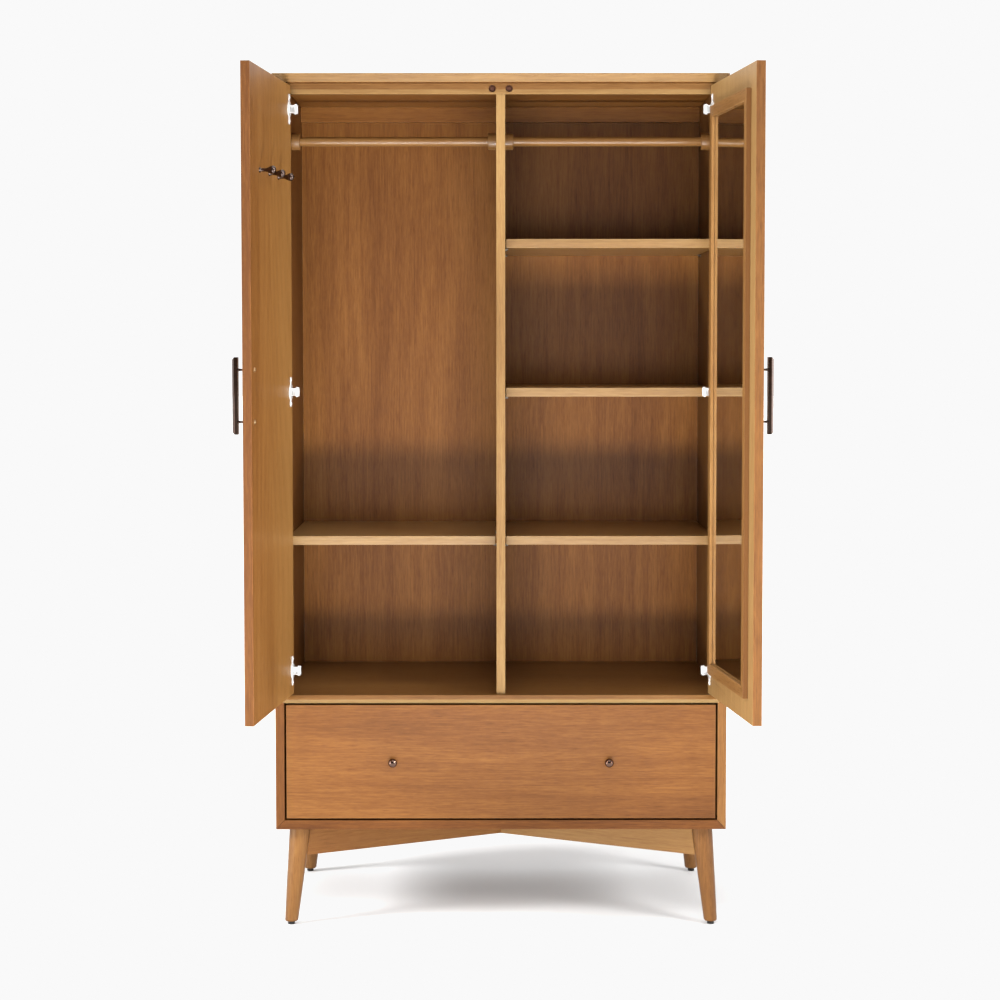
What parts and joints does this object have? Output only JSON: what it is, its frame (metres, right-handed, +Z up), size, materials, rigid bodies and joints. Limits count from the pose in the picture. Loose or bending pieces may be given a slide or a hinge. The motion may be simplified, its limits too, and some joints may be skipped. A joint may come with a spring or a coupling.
{
  "type": "two-door armoire",
  "caption": "Tall wooden clothes cabinet on splayed legs: two inset doors, hanging rods, shelves, coat pegs, a framed mirror and one wide drawer.",
  "frame": {"origin": "on the floor, at the middle of the footprint with both doors open as at rest; the case's front plane is 67 mm in front of it and the case is centred on it from side to side", "axes": "+Z up, -Y towards a person standing in front of the doors, +X to that person's right"},
  "size_m": [1.1112, 1.0855, 1.915],
  "materials": {
    "case_wood": "satin lacquer, warm acorn brown, short fine grain",
    "back_veneer": "satin veneer, upright grain",
    "rod_wood": "satin turned wood",
    "base_wood": "satin turned and sawn wood",
    "dark_bronze": "oil-rubbed dark bronze",
    "copper_bronze": "aged copper bronze, satin",
    "plated_steel": "nickel plated",
    "mirror_glass": "silvered glass",
    "foot_glide": "black moulded"
  },
  "bodies": {
    "cabinet": {"case_top": "case_wood", "case_bottom": "case_wood", "case_left_side": "case_wood", "case_right_side": "case_wood", "compartment_floor": "case_wood", "centre_partition": "case_wood", "top_stop_rail": "case_wood", "back_panel": "back_veneer", "back_top_rail": "case_wood", "left_shelf": "case_wood", "right_shelf_lower": "case_wood", "right_shelf_middle": "case_wood", "right_shelf_upper": "case_wood", "left_rod": "rod_wood", "left_rod_outer_socket": "rod_wood", "left_rod_inner_socket": "rod_wood", "right_rod": "rod_wood", "right_rod_outer_socket": "rod_wood", "right_rod_inner_socket": "rod_wood", "front_left_leg": "base_wood", "front_right_leg": "base_wood", "back_left_leg": "base_wood", "back_right_leg": "base_wood", "front_left_glide": "foot_glide", "front_right_glide": "foot_glide", "back_left_glide": "foot_glide", "back_right_glide": "foot_glide", "stretcher_front_left_to_back_right": "base_wood", "stretcher_front_right_to_back_left": "base_wood", "left_hinge_arm_top": "plated_steel", "left_hinge_arm_middle": "plated_steel", "left_hinge_arm_bottom": "plated_steel", "right_hinge_arm_top": "plated_steel", "right_hinge_arm_middle": "plated_steel", "right_hinge_arm_bottom": "plated_steel"},
    "left_door": {"left_door_panel": "case_wood", "left_hinge_cup_top": "plated_steel", "left_hinge_cup_middle": "plated_steel", "left_hinge_cup_bottom": "plated_steel", "left_door_handle": "dark_bronze", "coat_peg_1": "dark_bronze", "coat_peg_2": "dark_bronze", "coat_peg_3": "dark_bronze"},
    "right_door": {"right_door_panel": "case_wood", "right_hinge_cup_top": "plated_steel", "right_hinge_cup_middle": "plated_steel", "right_hinge_cup_bottom": "plated_steel", "right_door_handle": "dark_bronze", "mirror_frame_hinge_stile": "case_wood", "mirror_frame_free_stile": "case_wood", "mirror_frame_top_rail": "case_wood", "mirror_frame_bottom_rail": "case_wood", "mirror_glass": "mirror_glass"},
    "drawer": {"drawer_front": "case_wood", "drawer_left_side": "case_wood", "drawer_right_side": "case_wood", "drawer_back": "case_wood", "drawer_floor": "back_veneer", "drawer_left_knob": "copper_bronze", "drawer_right_knob": "copper_bronze"}
  },
  "joints": [
    {"name": "left_door_hinge", "type": "hinge", "parent": "cabinet", "child": "left_door", "pos_m": [-0.4852, -0.059, 1.2095], "axis": [0, 0, 1], "range_deg": [-15, 95]},
    {"name": "right_door_hinge", "type": "hinge", "parent": "cabinet", "child": "right_door", "pos_m": [0.4852, -0.059, 1.2095], "axis": [0, 0, -1], "range_deg": [-14, 96]},
    {"name": "drawer_slide", "type": "slide", "parent": "cabinet", "child": "drawer", "axis": [0, -1, 0], "range_m": [0, 0.4]}
  ]
}
